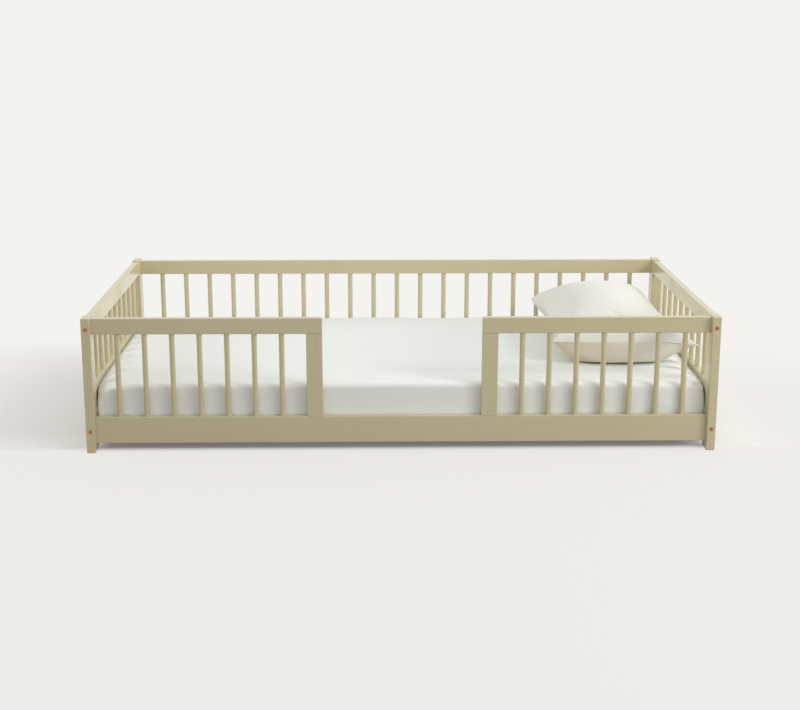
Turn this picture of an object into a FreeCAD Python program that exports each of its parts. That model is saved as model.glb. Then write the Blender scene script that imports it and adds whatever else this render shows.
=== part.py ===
import FreeCAD, Part
import os
import Sketcher
from FreeCAD import Placement, Rotation, Vector

# Low floor bed for a child, in millimetres
# Origin: on the floor, under the middle of the bed
# +X runs along the bed to the right, +Y from the front to the back, +Z up

doc = FreeCAD.newDocument("FloorBed")

# Driving dimensions: name, value, what it measures
SIZES = [
    ("bed_length", 1960, "outside, left post to right post"),
    ("bed_width", 980, "outside, front to back"),
    ("post_height", 430, "floor to the top of a post"),
    ("post_wide", 28, "post across the front"),
    ("post_deep", 55, "post from front to back"),
    ("post_round", 3, "eased edges of a post"),
    ("board_thick", 22, "thickness of every rail and board"),
    ("board_round", 2.5, "eased long edges of the boards"),
    ("top_rail_tall", 50, "height of the top rails"),
    ("top_rail_drop", 4, "top rails lie this far under the post tops"),
    ("side_rail_tall", 85, "height of side rails, end boards and end guard rails"),
    ("floor_gap", 27, "floor to the side rails and end boards"),
    ("end_gap", 16, "gap between an end board and its guard rail"),
    ("entry_wide", 492, "open gap between the front guards"),
    ("upright_wide", 50, "width of an upright at the entry gap"),
    ("spindle_thick", 17, "diameter of a spindle"),
    ("spindle_socket", 12, "depth of a spindle in a rail"),
    ("back_spindles", 21, "count at the back"),
    ("guard_spindles", 7, "count in each front guard"),
    ("end_spindles", 9, "count at each end"),
    ("glue_gap", 0.05, "radial clearance of spindles, dowels, bolts and screws"),
    ("dowel_thick", 8, "diameter of a dowel"),
    ("dowel_long", 38, "length of a dowel"),
    ("dowel_hole_deep", 20, "depth of each dowel hole"),
    ("rail_dowel_edge", 8, "top rail's edge to its dowel's centre, in the long rails"),
    ("end_dowel_edge", 13, "top rail's upper edge to its dowel's centre, at the ends"),
    ("board_dowel_edge", 21, "wide board's edge to its dowel's centre"),
    ("upright_dowel_edge", 12, "upright's edge to its dowel's centre"),
    ("bolt_thick", 6, "diameter of a bolt's shank"),
    ("bolt_reach", 40, "bolt's shank past the post, into the end rail"),
    ("bolt_drop", 36, "post's top to the upper bolt's centre"),
    ("bolt_head_wide", 14, "diameter of a bolt head"),
    ("bolt_head_tall", 2.6, "thickness of a bolt head"),
    ("bolt_head_proud", 1, "how far a bolt head stands out of its counterbore"),
    ("bolt_hole_wide", 6.6, "bolt's hole in post and rail"),
    ("bolt_hole_spare", 3, "hole past the bolt's tip"),
    ("counterbore_wide", 15, "counterbore for a bolt head"),
    ("socket_radius", 2.3, "hex socket, centre to corner"),
    ("socket_deep", 2, "depth of the hex socket"),
    ("nut_thick", 10, "diameter of a barrel nut"),
    ("nut_long", 16, "length of a barrel nut"),
    ("nut_setback", 27, "post's inner face to the barrel nut's axis"),
    ("ledger_wide", 25, "ledger, side rail to inner edge"),
    ("ledger_tall", 36, "height of a ledger"),
    ("ledger_lift", 12, "ledger's underside above the side rail's"),
    ("ledger_end_gap", 2, "clearance at each end of a ledger"),
    ("ledger_screws", 7, "screws in each ledger"),
    ("ledger_screw_edge", 60, "ledger's end to its first screw"),
    ("ledger_screw_long", 38, "length of a ledger screw"),
    ("slats", 14, "count of slats"),
    ("slat_wide", 75, "width of a slat"),
    ("slat_thick", 14, "thickness of a slat"),
    ("slat_round", 1.5, "eased long edges of a slat"),
    ("slat_side_gap", 1.5, "slat's end to the side rail"),
    ("slat_end_gap", 10, "end board to the first slat"),
    ("slat_screw_long", 30, "length of a slat screw"),
    ("screw_thick", 3.5, "diameter of a screw's shank"),
    ("screw_head_wide", 7, "diameter of a countersunk screw head"),
    ("screw_spare", 2, "pilot hole past the screw's tip"),
    ("soft_gap", 0.3, "clearance between soft pieces and what carries them"),
    ("mattress_end_gap", 5, "mattress to the end rails, the sheet between them"),
    ("mattress_side_gap", 4, "mattress to the side rails, the sheet between them"),
    ("mattress_thick", 120, "height of the mattress"),
    ("mattress_corner", 55, "rounded upright corners of the mattress"),
    ("mattress_crown", 28, "rounded upper edge of the mattress"),
    ("mattress_foot", 12, "rounded lower edge of the mattress"),
    ("sheet_thick", 1.2, "fitted sheet's cloth"),
    ("sheet_hem", 90, "fitted sheet turned in under the mattress"),
    ("pillow_wide", 462, "pillow between its left and right corners"),
    ("pillow_long", 632, "pillow between its front and back corners"),
    ("pillow_rise", 118, "pillow's crown above its seam"),
    ("pillow_belly", 74, "pillow's underside below its seam"),
    ("pillow_hem", 7, "pillow's seamed ends, upper edge to lower edge"),
    ("pillow_from_end", 3, "pillow's right corners to the end rail"),
    ("pillow_from_back", 69.5, "pillow's back corners to the back side rail"),
    ("overrun", 1, "how far cuts run past a face"),
]

sheet = doc.addObject("Spreadsheet::Sheet", "Sizes")
for row, (name, size, note) in enumerate(SIZES, start=1):
    sheet.set(f"A{row}", note)
    sheet.set(f"B{row}", str(size))
    sheet.setAlias(f"B{row}", name)
doc.recompute()
names = {name for name, size, note in SIZES}

# Directions, and how close to 1 the cosine of two parallel ones comes
ACROSS = Vector(1, 0, 0)
DEEP = Vector(0, 1, 0)
UP = Vector(0, 0, 1)
PARALLEL_SHARE = 0.999
ALONG_X = Rotation(DEEP, 90)
ALONG_Y = Rotation(ACROSS, -90)
QUARTER_TURN = Rotation(UP, 90)

# Each face of a body: the origin plane that it is parallel to, and its side of that plane
FACES = {
    "right": ("YZ_Plane", 1),
    "left": ("YZ_Plane", -1),
    "front": ("XZ_Plane", 1),
    "back": ("XZ_Plane", -1),
    "top": ("XY_Plane", 1),
    "bottom": ("XY_Plane", -1),
}


def cells(formula):
    """The formula with each size's name turned into its cell in the sheet."""
    words = []
    word = ""
    for letter in formula + " ":
        if letter.isalnum() or letter == "_":
            word += letter
            continue
        words.append("Sizes." + word if word in names else word)
        words.append(letter)
        word = ""
    return "".join(words).strip()


def value(formula):
    """What a formula of sizes comes to."""
    return float(sheet.evalExpression(cells(formula)))


def count(name):
    return int(value(name))


def bind(thing, **formulas):
    """Ties each named property of a thing to its formula."""
    for path, formula in formulas.items():
        thing.setExpression(path, cells(formula))


def place(thing, x, y, z):
    for axis, formula in (("x", x), ("y", y), ("z", z)):
        thing.setExpression("Placement.Base." + axis, cells(formula))


def times(side, formula):
    """The formula on the side that is +1 or -1."""
    return formula if side > 0 else f"-({formula})"


# Places and lengths that several pieces share
half_length = "bed_length / 2"
half_width = "bed_width / 2"
long_rail = "bed_length - 2 * post_wide"
end_rail = "bed_width - 2 * post_deep"
top_rail_top = "post_height - top_rail_drop"
top_rail_foot = f"{top_rail_top} - top_rail_tall"
top_rail_middle = f"{top_rail_top} - top_rail_tall / 2"
side_rail_top = "floor_gap + side_rail_tall"
side_rail_middle = "floor_gap + side_rail_tall / 2"
guard_rail_foot = f"{side_rail_top} + end_gap"
guard_rail_top = f"{guard_rail_foot} + side_rail_tall"
guard_rail_middle = f"{guard_rail_foot} + side_rail_tall / 2"
long_rail_plane = "bed_width / 2 - post_deep / 2"
end_rail_plane = "bed_length / 2 - post_wide / 2"
inner_half_width = f"{long_rail_plane} - board_thick / 2"
inner_half_length = f"{end_rail_plane} - board_thick / 2"
guard_long = "bed_length / 2 - post_wide - entry_wide / 2"
guard_middle = f"entry_wide / 2 + ({guard_long}) / 2"
guard_span = f"{guard_long} - upright_wide"
guard_row_middle = f"{half_length} - post_wide - ({guard_span}) / 2"
upright_tall = f"{top_rail_foot} - ({side_rail_top})"
upright_middle = "entry_wide / 2 + upright_wide / 2"
upper_bolt = "post_height - bolt_drop"
lower_bolt = side_rail_middle
bolt_under_head = "bolt_head_tall - bolt_head_proud"
bolt_long = f"post_deep - ({bolt_under_head}) + bolt_reach"
ledger_foot = "floor_gap + ledger_lift"
ledger_plane = f"{inner_half_width} - ledger_wide / 2"
ledger_long = f"{long_rail} - 2 * ledger_end_gap"
slat_foot = f"{ledger_foot} + ledger_tall"
slat_top = f"{slat_foot} + slat_thick"
slat_long = f"2 * ({inner_half_width} - slat_side_gap)"
slat_reach = f"{inner_half_length} - slat_end_gap - slat_wide / 2"
mattress_length = f"2 * ({inner_half_length} - mattress_end_gap)"
mattress_width = f"2 * ({inner_half_width} - mattress_side_gap)"
sheet_foot = f"{slat_top} + soft_gap"
mattress_foot_at = f"{sheet_foot} + sheet_thick + soft_gap"
sheet_top = f"{mattress_foot_at} + mattress_thick + soft_gap + sheet_thick"
hole = "2 * glue_gap"


def make_body(label):
    return doc.addObject("PartDesign::Body", label)


def make_sketch(body, name, role, lift=None):
    """A sketch on one of the body's own planes, lifted along that plane's normal."""
    sketch = body.newObject("Sketcher::SketchObject", name)
    planes = [item for item in body.Origin.OriginFeatures if item.Role == role]
    sketch.AttachmentSupport = (planes[0], [""])
    sketch.MapMode = "FlatFace"
    if lift:
        sketch.setExpression("AttachmentOffset.Base.z", cells(lift))
    return sketch


def constrain(sketch, kind, *rest, formula):
    """A constraint whose size follows a formula."""
    index = sketch.addConstraint(Sketcher.Constraint(kind, *rest, value(formula)))
    sketch.setExpression(f"Constraints[{index}]", cells(formula))


def add_rectangle(sketch, across, up):
    """A rectangle about the sketch's own centre."""
    half_across = value(across) / 2
    half_up = value(up) / 2
    corners = [
        Vector(-half_across, -half_up, 0),
        Vector(half_across, -half_up, 0),
        Vector(half_across, half_up, 0),
        Vector(-half_across, half_up, 0),
    ]
    for start, end in zip(corners, corners[1:] + corners[:1]):
        sketch.addGeometry(Part.LineSegment(start, end))
    for line in range(4):
        sketch.addConstraint(Sketcher.Constraint("Coincident", line, 2, (line + 1) % 4, 1))
        sketch.addConstraint(Sketcher.Constraint(("Horizontal", "Vertical")[line % 2], line))
    sketch.addConstraint(Sketcher.Constraint("Symmetric", 0, 1, 1, 2, -1, 1))
    constrain(sketch, "DistanceX", 0, 1, 0, 2, formula=across)
    constrain(sketch, "DistanceY", 1, 1, 1, 2, formula=up)


def add_circle(sketch, across, up, wide):
    centre = Vector(value(across), value(up), 0)
    circle = sketch.addGeometry(Part.Circle(centre, UP, value(wide) / 2))
    constrain(sketch, "DistanceX", -1, 1, circle, 3, formula=across)
    constrain(sketch, "DistanceY", -1, 1, circle, 3, formula=up)
    constrain(sketch, "Diameter", circle, formula=wide)


def pad_rectangle(body, role, across, up, long):
    """A block about the body's own centre."""
    sketch = make_sketch(body, body.Name + "_section", role)
    add_rectangle(sketch, across, up)
    pad = body.newObject("PartDesign::Pad", body.Name + "_block")
    pad.Profile = sketch
    pad.SideType = "Symmetric"
    bind(pad, Length=long)
    body.Tip = pad
    doc.recompute()
    return pad


def edges_along(shape, *axes):
    """Names of a shape's straight edges that run along one of the axes."""
    found = []
    for number, edge in enumerate(shape.Edges, start=1):
        if edge.Curve.TypeId != "Part::GeomLine":
            continue
        heading = edge.tangentAt(edge.FirstParameter)
        if any(abs(heading.dot(axis)) > PARALLEL_SHARE for axis in axes):
            found.append(f"Edge{number}")
    return found


def edges_at(shape, holds):
    """Names of the edges whose middle point passes a test."""
    found = []
    for number, edge in enumerate(shape.Edges, start=1):
        if holds(edge.CenterOfMass):
            found.append(f"Edge{number}")
    return found


def round_edges(body, edge_names, radius):
    base = body.Tip
    fillet = body.newObject("PartDesign::Fillet", body.Name + "_eased")
    fillet.Base = (base, edge_names)
    bind(fillet, Radius=radius)
    body.Tip = fillet
    doc.recompute()
    return fillet


def drill(body, face, reach, places, wide, deep):
    """Round holes sunk from a face, which lies at its reach from the body's centre."""
    role, side = FACES[face]
    sketch = make_sketch(body, f"{body.Name}_{face}_marks", role, times(side, reach))
    for across, up in places:
        add_circle(sketch, across, up, wide)
    volume = body.Shape.Volume
    pocket = body.newObject("PartDesign::Pocket", f"{body.Name}_{face}_holes")
    pocket.Profile = sketch
    pocket.Reversed = side < 0
    bind(pocket, Length=deep)
    body.Tip = pocket
    doc.recompute()
    if body.Shape.Volume >= volume:
        raise ValueError(f"{body.Name}: the holes in its {face} face cut nothing")
    return pocket


def repeat_along_x(body, feature, span, times_named):
    """Repeats a hole along the body's X axis, first to last over the span."""
    volume = body.Shape.Volume
    pattern = body.newObject("PartDesign::LinearPattern", feature.Name + "_row")
    axes = [item for item in body.Origin.OriginFeatures if item.Role == "X_Axis"]
    pattern.Originals = [feature]
    pattern.Direction = (axes[0], [""])
    bind(pattern, Length=span, Occurrences=times_named)
    body.Tip = pattern
    doc.recompute()
    if body.Shape.Volume >= volume:
        raise ValueError(f"{body.Name}: its row of holes cut nothing")


def board(label, long, tall, thick="board_thick", radius="board_round"):
    """A board: X along its length, Y through its thickness, Z up."""
    body = make_body(label)
    pad = pad_rectangle(body, "YZ_Plane", thick, tall, long)
    round_edges(body, edges_along(pad.Shape, ACROSS), radius)
    return body


def pitch_of(span, number):
    """Centre to centre of spindles that leave equal clear gaps over the span."""
    return f"(({span}) + spindle_thick) / ({number} + 1)"


def row_length(span, number):
    return f"({number} - 1) * {pitch_of(span, number)}"


def sink_spindles(body, face, tall, span, number, shift="0"):
    """A row of spindle sockets in a board's upper or lower edge."""
    first = f"{shift} - {row_length(span, number)} / 2"
    marks = [(first, "0")]
    wide = f"spindle_thick + {hole}"
    pocket = drill(body, face, f"({tall}) / 2", marks, wide, "spindle_socket")
    repeat_along_x(body, pocket, row_length(span, number), number)


def drill_dowels(body, face, reach, places):
    drill(body, face, reach, places, f"dowel_thick + {hole}", "dowel_hole_deep")


def add_post(label, right, back):
    """A corner post; right and back are +1 or -1."""
    body = make_body(label)
    pad = pad_rectangle(body, "XY_Plane", "post_wide", "post_deep", "post_height")
    round_edges(body, edges_along(pad.Shape, ACROSS, DEEP, UP), "post_round")
    inner_x = "left" if right > 0 else "right"
    inner_y = "front" if back > 0 else "back"
    outer_y = "back" if back > 0 else "front"

    def level(formula):
        return f"{formula} - post_height / 2"

    long_rail_levels = [
        f"{top_rail_top} - rail_dowel_edge",
        f"{top_rail_foot} + rail_dowel_edge",
        f"{side_rail_top} - board_dowel_edge",
        "floor_gap + board_dowel_edge",
    ]
    places = [("0", level(formula)) for formula in long_rail_levels]
    drill_dowels(body, inner_x, "post_wide / 2", places)

    end_rail_levels = [
        f"{top_rail_top} - end_dowel_edge",
        f"{guard_rail_top} - board_dowel_edge",
        f"{guard_rail_foot} + board_dowel_edge",
        f"{side_rail_top} - board_dowel_edge",
        "floor_gap + board_dowel_edge",
    ]
    places = [("0", level(formula)) for formula in end_rail_levels]
    drill_dowels(body, inner_y, "post_deep / 2", places)

    bolts = [("0", level(upper_bolt)), ("0", level(lower_bolt))]
    drill(body, inner_y, "post_deep / 2", bolts, "bolt_hole_wide", "post_deep")
    drill(body, outer_y, "post_deep / 2", bolts, "counterbore_wide", bolt_under_head)
    place(body, times(right, end_rail_plane), times(back, long_rail_plane), "post_height / 2")
    return body


def add_side_rail(label, back):
    """A side rail under the guards; back is +1 or -1."""
    body = board(label, long_rail, "side_rail_tall")
    levels = ("side_rail_tall / 2 - board_dowel_edge", "board_dowel_edge - side_rail_tall / 2")
    for face in ("left", "right"):
        drill_dowels(body, face, f"({long_rail}) / 2", [("0", level) for level in levels])
    inner_face = "front" if back > 0 else "back"
    screw_level = "ledger_lift + ledger_tall / 2 - side_rail_tall / 2"
    first = "ledger_screw_edge - ({}) / 2".format(ledger_long)
    pilot = f"screw_thick + {hole}"
    deep = "ledger_screw_long - ledger_wide + screw_spare"
    pocket = drill(body, inner_face, "board_thick / 2", [(first, screw_level)], pilot, deep)
    repeat_along_x(body, pocket, f"{ledger_long} - 2 * ledger_screw_edge", "ledger_screws")
    place(body, "0", times(back, long_rail_plane), side_rail_middle)
    return body


def upright_dowel_places(side):
    """Along X, the two dowels between an upright and the rails."""
    inner = "entry_wide / 2 + upright_dowel_edge"
    outer = "entry_wide / 2 + upright_wide - upright_dowel_edge"
    return [times(side, inner), times(side, outer)]


def add_guard_top_rail(label, side):
    """The top rail of a front guard; its free end at the entry gap is rounded."""
    body = make_body(label)
    pad = pad_rectangle(body, "YZ_Plane", "board_thick", "top_rail_tall", guard_long)
    free_end = edges_at(pad.Shape, lambda middle: middle.x * side < -value("board_round"))
    long_edges = edges_along(pad.Shape, ACROSS)
    round_edges(body, long_edges + free_end, "board_round")
    levels = ("top_rail_tall / 2 - rail_dowel_edge", "rail_dowel_edge - top_rail_tall / 2")
    outer_end = "right" if side > 0 else "left"
    drill_dowels(body, outer_end, f"({guard_long}) / 2", [("0", level) for level in levels])
    places = [(f"{x} - ({times(side, guard_middle)})", "0") for x in upright_dowel_places(side)]
    drill_dowels(body, "bottom", "top_rail_tall / 2", places)
    shift = f"{times(side, guard_row_middle)} - ({times(side, guard_middle)})"
    sink_spindles(body, "bottom", "top_rail_tall", guard_span, "guard_spindles", f"({shift})")
    place(body, times(side, guard_middle), f"-({long_rail_plane})", top_rail_middle)
    return body


def add_upright(label, side):
    """The upright between side rail and top rail, at the entry gap."""
    body = make_body(label)
    pad = pad_rectangle(body, "XY_Plane", "upright_wide", "board_thick", upright_tall)
    round_edges(body, edges_along(pad.Shape, UP), "board_round")
    places = [(f"{x} - ({times(side, upright_middle)})", "0") for x in upright_dowel_places(side)]
    for face in ("top", "bottom"):
        drill_dowels(body, face, f"({upright_tall}) / 2", places)
    place(body, times(side, upright_middle), f"-({long_rail_plane})",
          f"{side_rail_top} + ({upright_tall}) / 2")
    return body


def bolt_and_nut_holes(body, side, level):
    """In each end of an end rail: a hole for the bolt and one for its barrel nut."""
    reach = f"({end_rail}) / 2"
    for face in ("left", "right"):
        drill(body, face, reach, [("0", level)], "bolt_hole_wide", "bolt_reach + bolt_hole_spare")
    inner_face = "back" if side > 0 else "front"
    nut_place = f"{reach} - nut_setback"
    deep = "board_thick / 2 + nut_long / 2 + glue_gap"
    places = [(nut_place, level), (f"-({nut_place})", level)]
    drill(body, inner_face, "board_thick / 2", places, f"nut_thick + {hole}", deep)


def stand_end_board(body, side, middle):
    """Turns a board to run from front to back, at the left (-1) or right (+1) end."""
    body.Placement = Placement(Vector(), QUARTER_TURN)
    place(body, times(side, end_rail_plane), "0", middle)


def add_end_top_rail(label, side):
    body = board(label, end_rail, "top_rail_tall")
    dowel_level = "top_rail_tall / 2 - end_dowel_edge"
    for face in ("left", "right"):
        drill_dowels(body, face, f"({end_rail}) / 2", [("0", dowel_level)])
    bolt_and_nut_holes(body, side, f"{upper_bolt} - ({top_rail_middle})")
    sink_spindles(body, "bottom", "top_rail_tall", end_rail, "end_spindles")
    stand_end_board(body, side, top_rail_middle)
    return body


def wide_board_dowels(body):
    levels = ("side_rail_tall / 2 - board_dowel_edge", "board_dowel_edge - side_rail_tall / 2")
    for face in ("left", "right"):
        drill_dowels(body, face, f"({end_rail}) / 2", [("0", level) for level in levels])


def add_end_guard_rail(label, side):
    body = board(label, end_rail, "side_rail_tall")
    wide_board_dowels(body)
    sink_spindles(body, "top", "side_rail_tall", end_rail, "end_spindles")
    stand_end_board(body, side, guard_rail_middle)
    return body


def add_end_board(label, side):
    body = board(label, end_rail, "side_rail_tall")
    wide_board_dowels(body)
    bolt_and_nut_holes(body, side, f"{lower_bolt} - ({side_rail_middle})")
    stand_end_board(body, side, side_rail_middle)
    return body


def rod(label, wide, long, turn=None):
    """A round bar from its own origin, along Z or turned to X or Y."""
    bar = doc.addObject("Part::Cylinder", label)
    bind(bar, Radius=f"({wide}) / 2", Height=long)
    if turn:
        bar.Placement = Placement(Vector(), turn)
    return bar


def group(label, pieces):
    """Identical pieces kept together as separate solids."""
    compound = doc.addObject("Part::Compound", label)
    compound.Links = pieces
    return compound


def add_spindles(label, number, foot, along, x="0", y="0"):
    """A row of spindles from rail to rail; along is x or y, and span its clear length."""
    axis, span, middle = along
    length = f"{top_rail_foot} - ({foot}) + 2 * spindle_socket - 2 * glue_gap"
    level = f"{foot} - spindle_socket + glue_gap"
    pieces = []
    for index in range(count(number)):
        step = f"({middle}) - {row_length(span, number)} / 2 + {index} * {pitch_of(span, number)}"
        spindle = rod(f"{label}_{index + 1}", "spindle_thick", length)
        if axis == "x":
            place(spindle, step, y, level)
        else:
            place(spindle, x, step, level)
        pieces.append(spindle)
    return group(label, pieces)


def add_dowel(label, turn, x, y, z):
    """A dowel whose middle is on the joint face."""
    dowel = rod(label, "dowel_thick", "dowel_long", turn)
    half = "dowel_long / 2"
    if turn is ALONG_X:
        x = f"{x} - {half}"
    elif turn is ALONG_Y:
        y = f"{y} - {half}"
    else:
        z = f"{z} - {half}"
    place(dowel, x, y, z)
    return dowel


def add_rail_dowels():
    """Dowels between the long rails and the posts."""
    top = [f"{top_rail_top} - rail_dowel_edge", f"{top_rail_foot} + rail_dowel_edge"]
    low = [f"{side_rail_top} - board_dowel_edge", "floor_gap + board_dowel_edge"]
    pieces = []
    for side in (-1, 1):
        for back in (-1, 1):
            for level in top + low:
                label = f"rail_dowel_{len(pieces) + 1}"
                x = times(side, f"{half_length} - post_wide")
                pieces.append(add_dowel(label, ALONG_X, x, times(back, long_rail_plane), level))
    return group("rail_dowels", pieces)


def add_end_dowels():
    """Dowels between the end rails and the posts."""
    levels = [
        f"{top_rail_top} - end_dowel_edge",
        f"{guard_rail_top} - board_dowel_edge",
        f"{guard_rail_foot} + board_dowel_edge",
        f"{side_rail_top} - board_dowel_edge",
        "floor_gap + board_dowel_edge",
    ]
    pieces = []
    for side in (-1, 1):
        for back in (-1, 1):
            for level in levels:
                label = f"end_dowel_{len(pieces) + 1}"
                y = times(back, f"{half_width} - post_deep")
                pieces.append(add_dowel(label, ALONG_Y, times(side, end_rail_plane), y, level))
    return group("end_dowels", pieces)


def add_upright_dowels():
    """Upright dowels between the entry uprights and the rails."""
    pieces = []
    for side in (-1, 1):
        for x in upright_dowel_places(side):
            for level in (side_rail_top, top_rail_foot):
                label = f"upright_dowel_{len(pieces) + 1}"
                pieces.append(add_dowel(label, None, x, f"-({long_rail_plane})", level))
    return group("upright_dowels", pieces)


def add_bolt(label, side, back, level):
    """A bolt with a flat head and a hex socket, pointing into the bed."""
    head = rod(label + "_head", "bolt_head_wide", "bolt_head_tall")
    shank = rod(label + "_shank", "bolt_thick", f"{bolt_long} + overrun")
    place(shank, "0", "0", "bolt_head_tall - overrun")
    solid = doc.addObject("Part::Fuse", label + "_solid")
    solid.Base = head
    solid.Tool = shank
    socket = doc.addObject("Part::Prism", label + "_socket")
    socket.Polygon = 6
    bind(socket, Circumradius="socket_radius", Height="socket_deep + overrun")
    place(socket, "0", "0", "-overrun")
    bolt = doc.addObject("Part::Cut", label)
    bolt.Base = solid
    bolt.Tool = socket
    inward = Rotation(ACROSS, 90 * back)
    bolt.Placement = Placement(Vector(), inward)
    outer = times(back, f"{half_width} + bolt_head_proud")
    place(bolt, times(side, end_rail_plane), outer, level)
    return bolt


def add_nut(label, side, back, level):
    """A barrel nut across an end rail, bored for its bolt."""
    barrel = rod(label + "_barrel", "nut_thick", "nut_long")
    place(barrel, "0", "0", "-nut_long / 2")
    bore = rod(label + "_bore", f"bolt_thick + {hole}", "nut_thick + 2 * overrun", ALONG_X)
    place(bore, "-nut_thick / 2 - overrun", "0", "0")
    nut = doc.addObject("Part::Cut", label)
    nut.Base = barrel
    nut.Tool = bore
    nut.Placement = Placement(Vector(), QUARTER_TURN.multiply(ALONG_Y))
    y = times(back, f"{half_width} - post_deep - nut_setback")
    place(nut, times(side, end_rail_plane), y, level)
    return nut


def add_bolts_and_nuts():
    bolts = []
    nuts = []
    for side in (-1, 1):
        for back in (-1, 1):
            for level in (upper_bolt, lower_bolt):
                number = len(bolts) + 1
                bolts.append(add_bolt(f"post_bolt_{number}", side, back, level))
                nuts.append(add_nut(f"barrel_nut_{number}", side, back, level))
    return [group("post_bolts", bolts), group("barrel_nuts", nuts)]


def countersink(body, face_level):
    """Opens every screw hole's rim at a level, at 45 degrees, for the screw heads."""
    rims = []
    for number, edge in enumerate(body.Shape.Edges, start=1):
        is_rim = edge.Curve.TypeId == "Part::GeomCircle" and edge.isClosed()
        if is_rim and face_level(edge.CenterOfMass):
            rims.append(f"Edge{number}")
    volume = body.Shape.Volume
    base = body.Tip
    chamfer = body.newObject("PartDesign::Chamfer", body.Name + "_countersinks")
    chamfer.Base = (base, rims)
    bind(chamfer, Size="screw_head_wide / 2 - screw_thick / 2")
    body.Tip = chamfer
    doc.recompute()
    if body.Shape.Volume >= volume:
        raise ValueError(f"{body.Name}: its countersinks cut nothing")


def screw(label, long):
    """A countersunk screw: its head's flat top at its own origin, pointing down."""
    head = doc.addObject("Part::Cone", label + "_head")
    head_tall = "screw_head_wide / 2 - screw_thick / 2"
    bind(head, Radius1="screw_thick / 2", Radius2="screw_head_wide / 2", Height=head_tall)
    place(head, "0", "0", f"-({head_tall})")
    shank = rod(label + "_shank", "screw_thick", long)
    place(shank, "0", "0", f"-({long})")
    whole = doc.addObject("Part::Fuse", label)
    whole.Base = head
    whole.Tool = shank
    return whole


def add_ledger(label, back):
    """The strip that carries the slats, screwed to the side rail."""
    body = board(label, ledger_long, "ledger_tall", "ledger_wide")
    inner_face = "front" if back > 0 else "back"
    first = f"ledger_screw_edge - ({ledger_long}) / 2"
    pilot = f"screw_thick + {hole}"
    pocket = drill(body, inner_face, "ledger_wide / 2", [(first, "0")], pilot, "ledger_wide")
    span = f"{ledger_long} - 2 * ledger_screw_edge"
    repeat_along_x(body, pocket, span, "ledger_screws")
    countersink(body, lambda centre: centre.y * back < 0)
    pilot_marks = []
    for index in range(count("slats")):
        pilot_marks.append((slat_place(index), "0"))
    deep = "slat_screw_long - slat_thick + screw_spare"
    drill(body, "top", "ledger_tall / 2", pilot_marks, pilot, deep)
    place(body, "0", times(back, ledger_plane), f"{ledger_foot} + ledger_tall / 2")
    return body


def slat_place(index):
    """Where a slat lies along X."""
    pitch = f"2 * ({slat_reach}) / (slats - 1)"
    return f"{index} * {pitch} - ({slat_reach})"


def add_slat(index):
    """A slat from ledger to ledger."""
    body = board(f"slat_{index + 1:02d}", slat_long, "slat_thick", "slat_wide", "slat_round")
    pilot = f"screw_thick + {hole}"
    places = [(ledger_plane, "0"), (f"-({ledger_plane})", "0")]
    drill(body, "top", "slat_thick / 2", places, pilot, "slat_thick")
    countersink(body, lambda centre: centre.z > 0)
    body.Placement = Placement(Vector(), QUARTER_TURN)
    place(body, slat_place(index), "0", f"{slat_foot} + slat_thick / 2")
    return body


def add_slat_screws():
    pieces = []
    for index in range(count("slats")):
        for back in (-1, 1):
            one = screw(f"slat_screw_{len(pieces) + 1}", "slat_screw_long")
            place(one, slat_place(index), times(back, ledger_plane), slat_top)
            pieces.append(one)
    return group("slat_screws", pieces)


def add_ledger_screws():
    pieces = []
    pitch = f"({ledger_long} - 2 * ledger_screw_edge) / (ledger_screws - 1)"
    first = f"ledger_screw_edge - ({ledger_long}) / 2"
    for back in (-1, 1):
        for index in range(count("ledger_screws")):
            one = screw(f"ledger_screw_{len(pieces) + 1}", "ledger_screw_long")
            one.Placement = Placement(Vector(), Rotation(ACROSS, 90 * back))
            y = times(back, f"{inner_half_width} - ledger_wide")
            place(one, f"{first} + {index} * {pitch}", y, f"{ledger_foot} + ledger_tall / 2")
            pieces.append(one)
    return group("ledger_screws", pieces)


def soft_block(label, grow):
    """The mattress block, grown outwards on every side, with its edges rounded."""
    body = make_body(label)
    long = f"{mattress_length} + 2 * ({grow})"
    wide = f"{mattress_width} + 2 * ({grow})"
    tall = f"mattress_thick + 2 * ({grow})"
    pad = pad_rectangle(body, "XY_Plane", long, wide, tall)
    round_edges(body, edges_along(pad.Shape, UP), f"mattress_corner + {grow}")
    for above, radius in ((1, "mattress_crown"), (-1, "mattress_foot")):
        level = value(tall) / 2 - value("soft_gap")
        rim = edges_at(body.Shape, lambda middle: middle.z * above > level)
        round_edges(body, rim, f"{radius} + {grow}")
    return body


def add_mattress():
    body = soft_block("mattress", "0")
    place(body, "0", "0", f"{mattress_foot_at} + mattress_thick / 2")
    return body


def add_fitted_sheet():
    """The sheet: a shell round the mattress, open under it inside its turned-in hem."""
    outer = soft_block("sheet_outside", "soft_gap + sheet_thick")
    cavity = soft_block("sheet_inside", "soft_gap")
    opening = make_body("sheet_opening")
    long = f"{mattress_length} - 2 * sheet_hem"
    wide = f"{mattress_width} - 2 * sheet_hem"
    pad_rectangle(opening, "XY_Plane", long, wide, "2 * sheet_thick + 2 * soft_gap")
    place(opening, "0", "0", "-(mattress_thick / 2 + soft_gap + sheet_thick)")
    hollow = doc.addObject("Part::Cut", "sheet_shell")
    hollow.Base = outer
    hollow.Tool = cavity
    whole = doc.addObject("Part::Cut", "fitted_sheet")
    whole.Base = hollow
    whole.Tool = opening
    place(whole, "0", "0", f"{mattress_foot_at} + mattress_thick / 2")
    return whole


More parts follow.
